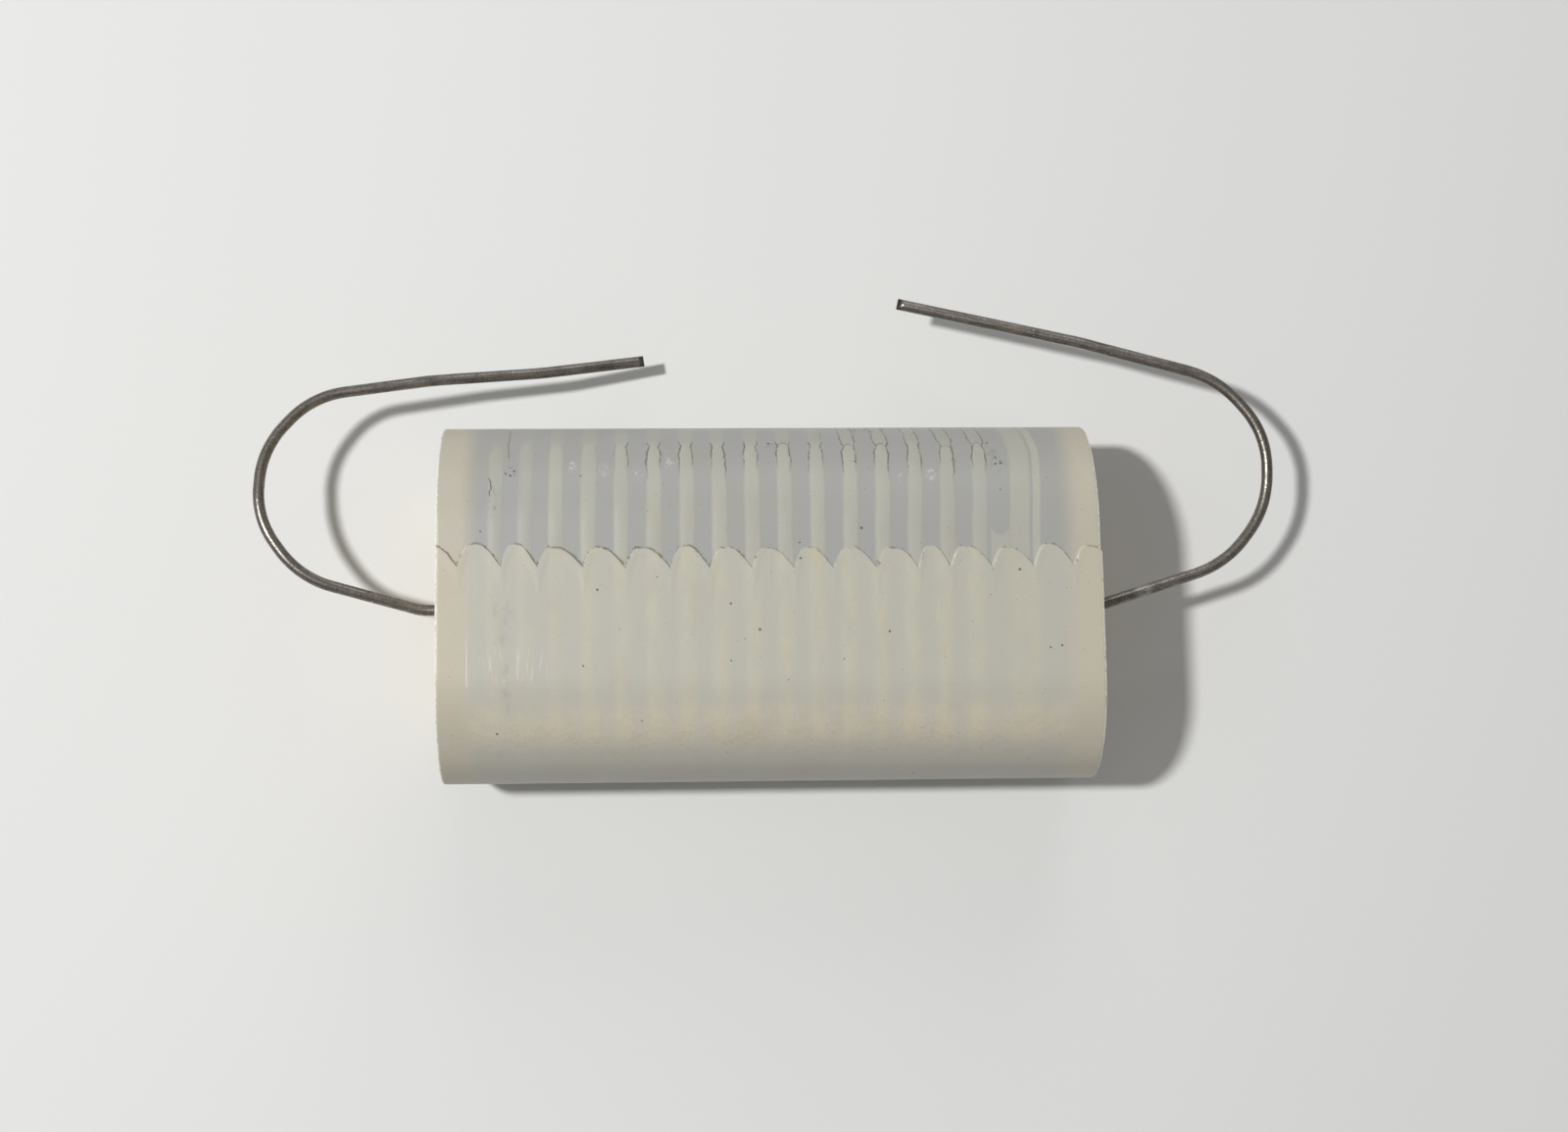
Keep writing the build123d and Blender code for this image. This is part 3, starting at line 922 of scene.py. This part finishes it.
scratch = tape_x.hump(scratch_place, 0.06, 0.01) * t_near.rise(*scratch_start) * t_near.rise(*scratch_stop)
# Painted sheen: pale streaks where the flat top reflects light, which are also made less rough.
painted_sheen_streak = cloud(vector(tape_tree, tape_x * 4.0, t_near * 0.6, 0.0), 1.0).rise(0.5, 0.66) * t_lower
painted_sheen_streak = painted_sheen_streak * tape_x.hump(sheen_place, sheen_reach) * t_near.hump(sheen_middle, sheen_half)
# Painted highlight: a pale broken line along the top edge at each end, over the paler rims.
painted_end_highlight = (t_end + (flecked - 0.5) * 0.4).rise(0.16, 0.03) * broken.rise(0.34, 0.46)
rim_and_end_highlight = t_turn.rise(0.05, 0.5).math("MAXIMUM", painted_end_highlight)
marks += [
    (dirt_dark, crack * t_open * 0.8),
    (dirt_dark, hairline * t_open * 0.6),
    (speck_olive, specks(tape_place, per_mm=1.0, amount=0.3, size_share=0.14) * 0.85),
    (dirt_brown, specks(tape_place, per_mm=2.6, amount=0.14, size_share=0.2) * 0.45),
    (stain_yellow, specks(tape_place, per_mm=0.3, amount=0.12, size_share=0.1) * 0.6),
    (dirt_dark, smudge * 0.22),
    (scratch_and_highlight_white, (scratch * t_lower * 0.6).math("MAXIMUM", painted_sheen_streak * 0.45)),
    (tint(rim_pale_and_highlight, rim_brown, broken.rise(0.58, 0.72)), rim_and_end_highlight * 0.8),
]
feed(tape_shader.inputs["Base Color"], layered(tape_colour, marks))
dulled = blotch * 0.16 + tape_roughness + edge_dirt * 0.2
feed(tape_shader.inputs["Roughness"], dulled - painted_sheen_streak * 0.12)
tape_shader.inputs["Specular IOR Level"].default_value = tape_specular
raised(tape_shader, fine * 0.4 + bubble * 0.6, tape_relief)

wrap_mesh = bpy.data.meshes.new("tape_wrap_carrier")
wrap_piece = grown("tape_wrap_turns", wrap_mesh, wrap_tree, {
    "Width": body_width, "Thickness": body_thickness, "Left end": left_end, "Right end": right_end,
    "Left skew": left_skew_deg, "Right skew": right_skew_deg, "Tape thickness": tape_thickness,
    "Turns": tape_turns, "Seam place": seam_place, "Tooth pitch": tooth_pitch, "Tooth point": tooth_point,
    "Tunnel pitch": tunnel_pitch, "Tunnel width": tunnel_width, "Tunnel height": tunnel_height,
    "Columns": wrap_columns, "Rows": wrap_rows, "Seed": wrap_seed, "Finish": tape,
})
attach(wrap_piece, "root")
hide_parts("tape_wrap")

# The end fills: resin poured into the open ends of the wrap, which seals the metal and grips the leads.
# It creeps up the wire and the tape as it sets, and keeps small pits where air came out.
fill_boxes = {end: [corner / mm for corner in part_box(f"end_fill_{end}")] for end in ("left", "right")}
fill_low, fill_high = fill_boxes["left"]
fill_width = body_width - 2 * tape_turns * tape_thickness
fill_thickness = fill_high.z - fill_low.z
fill_axis = (fill_low.z + fill_high.z) / 2
fill_recess = 0.3
wall_creep = 0.2
wall_creep_reach = 1.1
wire_creep = 0.42
wire_creep_reach = 0.8
fill_ripple = 0.1
fill_ripples_per_mm = 0.35
pit_depth = 0.16
pits_per_mm = 1.1
wire_offset = -0.3
pool_radius = 2.0
pool_height = 0.75
fill_spokes = 181
face_rings = 44
wall_rings = 3
back_rings = 3
step_rings = 1
pool_rings = 2
wire_rings = 2
face_crowding = 1.3
fill_weld = 0.0004
fill_crease = math.radians(50)
fill_seed = 11.0
fill_seed_step = 20.0
fill_ends = {
    "left": (-1.0, fill_boxes["left"][1].x, left_skew_deg),
    "right": (1.0, fill_boxes["right"][0].x, right_skew_deg),
}
resin_amber = (188, 166, 122)
resin_pale = (206, 188, 148)
resin_pit = (116, 98, 68)
resin_roughness = 0.22
resin_relief = 0.01 * mm

fill_tree, fill = growing_tree("resin_end_fill", {
    "Side": float, "End": float, "Skew": float, "Back": float, "Width": float, "Thickness": float,
    "Axis": float, "Recess": float, "Wall creep": float, "Wire creep": float, "Ripple": float,
    "Wire radius": float, "Wire offset": float, "Pool radius": float, "Pool height": float, "Spokes": int,
    "Seed": float, "Finish": str,
})
wall_end = face_rings + wall_rings
back_end = wall_end + back_rings
step_end = back_end + step_rings
pool_end = step_end + pool_rings
last_ring = pool_end + wire_rings
fill_net = made(fill_tree, "GeometryNodeMeshGrid", Size_X=last_ring, Size_Y=fill["Spokes"] - 1.0,
                Vertices_X=last_ring + 1, Vertices_Y=fill["Spokes"])
fill_x, fill_y = split(made(fill_tree, "GeometryNodeInputPosition"))[:2]
ring_number = fill_x + last_ring / 2.0
spoke_share = fill_y / (fill["Spokes"] - 1.0) * fill["Side"] + 0.5

# Each ring runs out over the open face, back along the wall, and in again round the solder and the wire.
face_out = ring_number.ramp(0.0, face_rings)
wall_back = ring_number.ramp(face_rings, wall_end)
back_in = ring_number.ramp(wall_end, back_end)
pool_up = ring_number.ramp(back_end, step_end)
pool_in = ring_number.ramp(step_end, pool_end)
wire_out = ring_number.ramp(pool_end, last_ring)
fill_flat = (fill["Width"] - fill["Thickness"]) / 2.0
fill_radius = fill["Thickness"] / 2.0
fill_around = fill_flat * 4.0 + fill_radius * (2.0 * math.pi)
wall_y, wall_z = oval(spoke_share * fill_around, 0.0, fill_flat, fill_radius)[:2]
spoke_y = wall_y - fill["Wire offset"]
spoke_z = wall_z - fill_radius
spoke_length = (spoke_y * spoke_y + spoke_z * spoke_z).math("SQRT")
behind = ring_number.math("GREATER_THAN", face_rings + 0.5)
inner = fill["Wire radius"] + (fill["Pool radius"] - fill["Wire radius"]) * (behind - pool_in)
from_wire = inner + (spoke_length - inner) * (face_out.power(face_crowding) - back_in)
ring_y = spoke_y / spoke_length * from_wire + fill["Wire offset"]
ring_z = spoke_z / spoke_length * from_wire + fill["Axis"]
seeded_ring = vector(fill_tree, ring_y, ring_z, fill["Seed"])
ripples = (cloud(seeded_ring, fill_ripples_per_mm, detail=3.0) - 0.5) * fill["Ripple"] * 2.0
pits = cloud(seeded_ring, pits_per_mm, detail=1.0).rise(0.66, 0.74) * pit_depth
off_wall = spoke_length - from_wire
off_wire = from_wire - fill["Wire radius"]
creep = off_wall.rise(wall_creep_reach, 0.0).power(2.0) * fill["Wall creep"]
climb = off_wire.rise(wire_creep_reach, 0.0).power(1.5) * fill["Wire creep"]
calm = off_wall.rise(0.0, wire_creep_reach) * off_wire.rise(0.0, wire_creep_reach)
sunk = fill["Recess"] - creep - climb + (ripples + pits) * calm
open_x = fill["Side"] * (fill["End"] - sunk - ring_y * fill["Skew"].math("RADIANS").math("TANGENT"))
ring_x = open_x + (fill["Back"] - open_x) * wall_back + fill["Side"] * fill["Pool height"] * pool_up
ring_x = ring_x + (open_x - ring_x) * wire_out
fill_shape = made(fill_tree, "GeometryNodeSetPosition", Geometry=fill_net,
                  Position=vector(fill_tree, ring_x, ring_y, ring_z))
fill_shape = noted(fill_shape, "pit", pits * calm)
fill_shape = made(fill_tree, "GeometryNodeMergeByDistance", Geometry=fill_shape, Distance=fill_weld)
fill_shape = made(fill_tree, "GeometryNodeTransform", Geometry=fill_shape, Scale=(mm, mm, mm))
finished(fill_tree, fill_shape, fill, fill_crease)

resin, resin_shader, resin_place = new_finish("cast_resin")
resin_blotch = cloud(resin_place, 0.3, detail=3.0)
resin_pits = note(resin.node_tree, "pit").rise(0.0, 0.12)
resin_colour = layered(tint(resin_amber, resin_pale, resin_blotch.rise(0.3, 0.7)), (
    (resin_pit, resin_pits * 0.7),
    (resin_pit, specks(resin_place, per_mm=1.2, amount=0.12, size_share=0.16) * 0.6),
))
feed(resin_shader.inputs["Base Color"], resin_colour)
feed(resin_shader.inputs["Roughness"], resin_blotch * 0.25 + resin_roughness)
raised(resin_shader, cloud(resin_place, 3.0, detail=3.0), resin_relief)

for number, (end, (fill_side, fill_back, fill_skew)) in enumerate(fill_ends.items()):
    fill_mesh = bpy.data.meshes.new(f"end_fill_{end}_carrier")
    fill_piece = grown(f"end_fill_{end}_resin", fill_mesh, fill_tree, {
        "Side": fill_side, "End": right_end, "Skew": fill_skew, "Back": fill_back, "Width": fill_width,
        "Thickness": fill_thickness, "Axis": fill_axis, "Recess": fill_recess, "Wall creep": wall_creep,
        "Wire creep": wire_creep, "Ripple": fill_ripple, "Wire radius": lead_radius,
        "Wire offset": wire_offset, "Pool radius": pool_radius, "Pool height": pool_height,
        "Spokes": fill_spokes, "Seed": fill_seed + fill_seed_step * number, "Finish": resin,
    })
    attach(fill_piece, "root")
    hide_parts(f"end_fill_{end}")

# The floor: one plain pale sheet that the body lies on and that takes its shadow.
# It lies a hair lower than the wrap, so that the two never share a face.
floor_reach = 1.5
floor_drop = 0.02 * mm
floor_roughness = 0.8
floor_pale = (222, 222, 220)
floor_mesh = bpy.data.meshes.new("floor")
floor_mesh.from_pydata(
    [(x * floor_reach, y * floor_reach, -floor_drop) for x, y in ((-1, -1), (1, -1), (1, 1), (-1, 1))],
    [], [(0, 1, 2, 3)],
)
floor_sheet = bpy.data.objects.new("floor", floor_mesh)
bpy.context.scene.collection.objects.link(floor_sheet)
floor_paint, floor_shader = new_finish("pale_floor")[:2]
floor_shader.inputs["Base Color"].default_value = paint(floor_pale)
floor_shader.inputs["Roughness"].default_value = floor_roughness
floor_mesh.materials.append(floor_paint)

# The light: a small soft lamp high on the left, a wide faint one behind, and an even pale room.
# Each lamp has its place in metres, its width and its power, and is turned to the body.
lamps = {
    "key_lamp": (Vector((-0.242, 0.041, 0.45)), 0.036, 2.0),
    "back_lamp": (Vector((0.05, 0.43, 0.27)), 0.3, 0.36),
}
room_level = 0.25
for lamp_name, (lamp_place, lamp_size, lamp_power) in lamps.items():
    lamp_data = bpy.data.lights.new(lamp_name, "AREA")
    lamp_data.shape = "DISK"
    lamp_data.size = lamp_size
    lamp_data.energy = lamp_power
    lamp = bpy.data.objects.new(lamp_name, lamp_data)
    lamp.location = lamp_place
    lamp.rotation_euler = lamp_place.to_track_quat("Z", "Y").to_euler()
    lamp.visible_camera = False
    bpy.context.scene.collection.objects.link(lamp)
room_light = bpy.data.worlds.new("pale_room")
room_light.use_nodes = True
room_light.node_tree.nodes["Background"].inputs["Color"].default_value = (1.0, 1.0, 1.0, 1.0)
room_light.node_tree.nodes["Background"].inputs["Strength"].default_value = room_level
bpy.context.scene.world = room_light
bpy.context.scene.view_settings.view_transform = "Standard"

# The camera: close above the body, a little left of it, looking almost straight down.
# Its place, turn and lens give the body and its leads the outline that they have in the photograph.
camera_place = Vector((-7.27, -7.67, 179.32)) * mm
camera_turn = (0.0604, -0.0495, -0.0064)
camera_lens = 55.01
camera_sensor = 36.0
nearest_seen = 0.01
camera_data = bpy.data.cameras.new("camera")
camera_data.lens = camera_lens
camera_data.sensor_width = camera_sensor
camera_data.sensor_fit = "HORIZONTAL"
camera_data.clip_start = nearest_seen
camera = bpy.data.objects.new("camera", camera_data)
camera.location = camera_place
camera.rotation_mode = "ZYX"
camera.rotation_euler = camera_turn
bpy.context.scene.collection.objects.link(camera)
bpy.context.scene.camera = camera
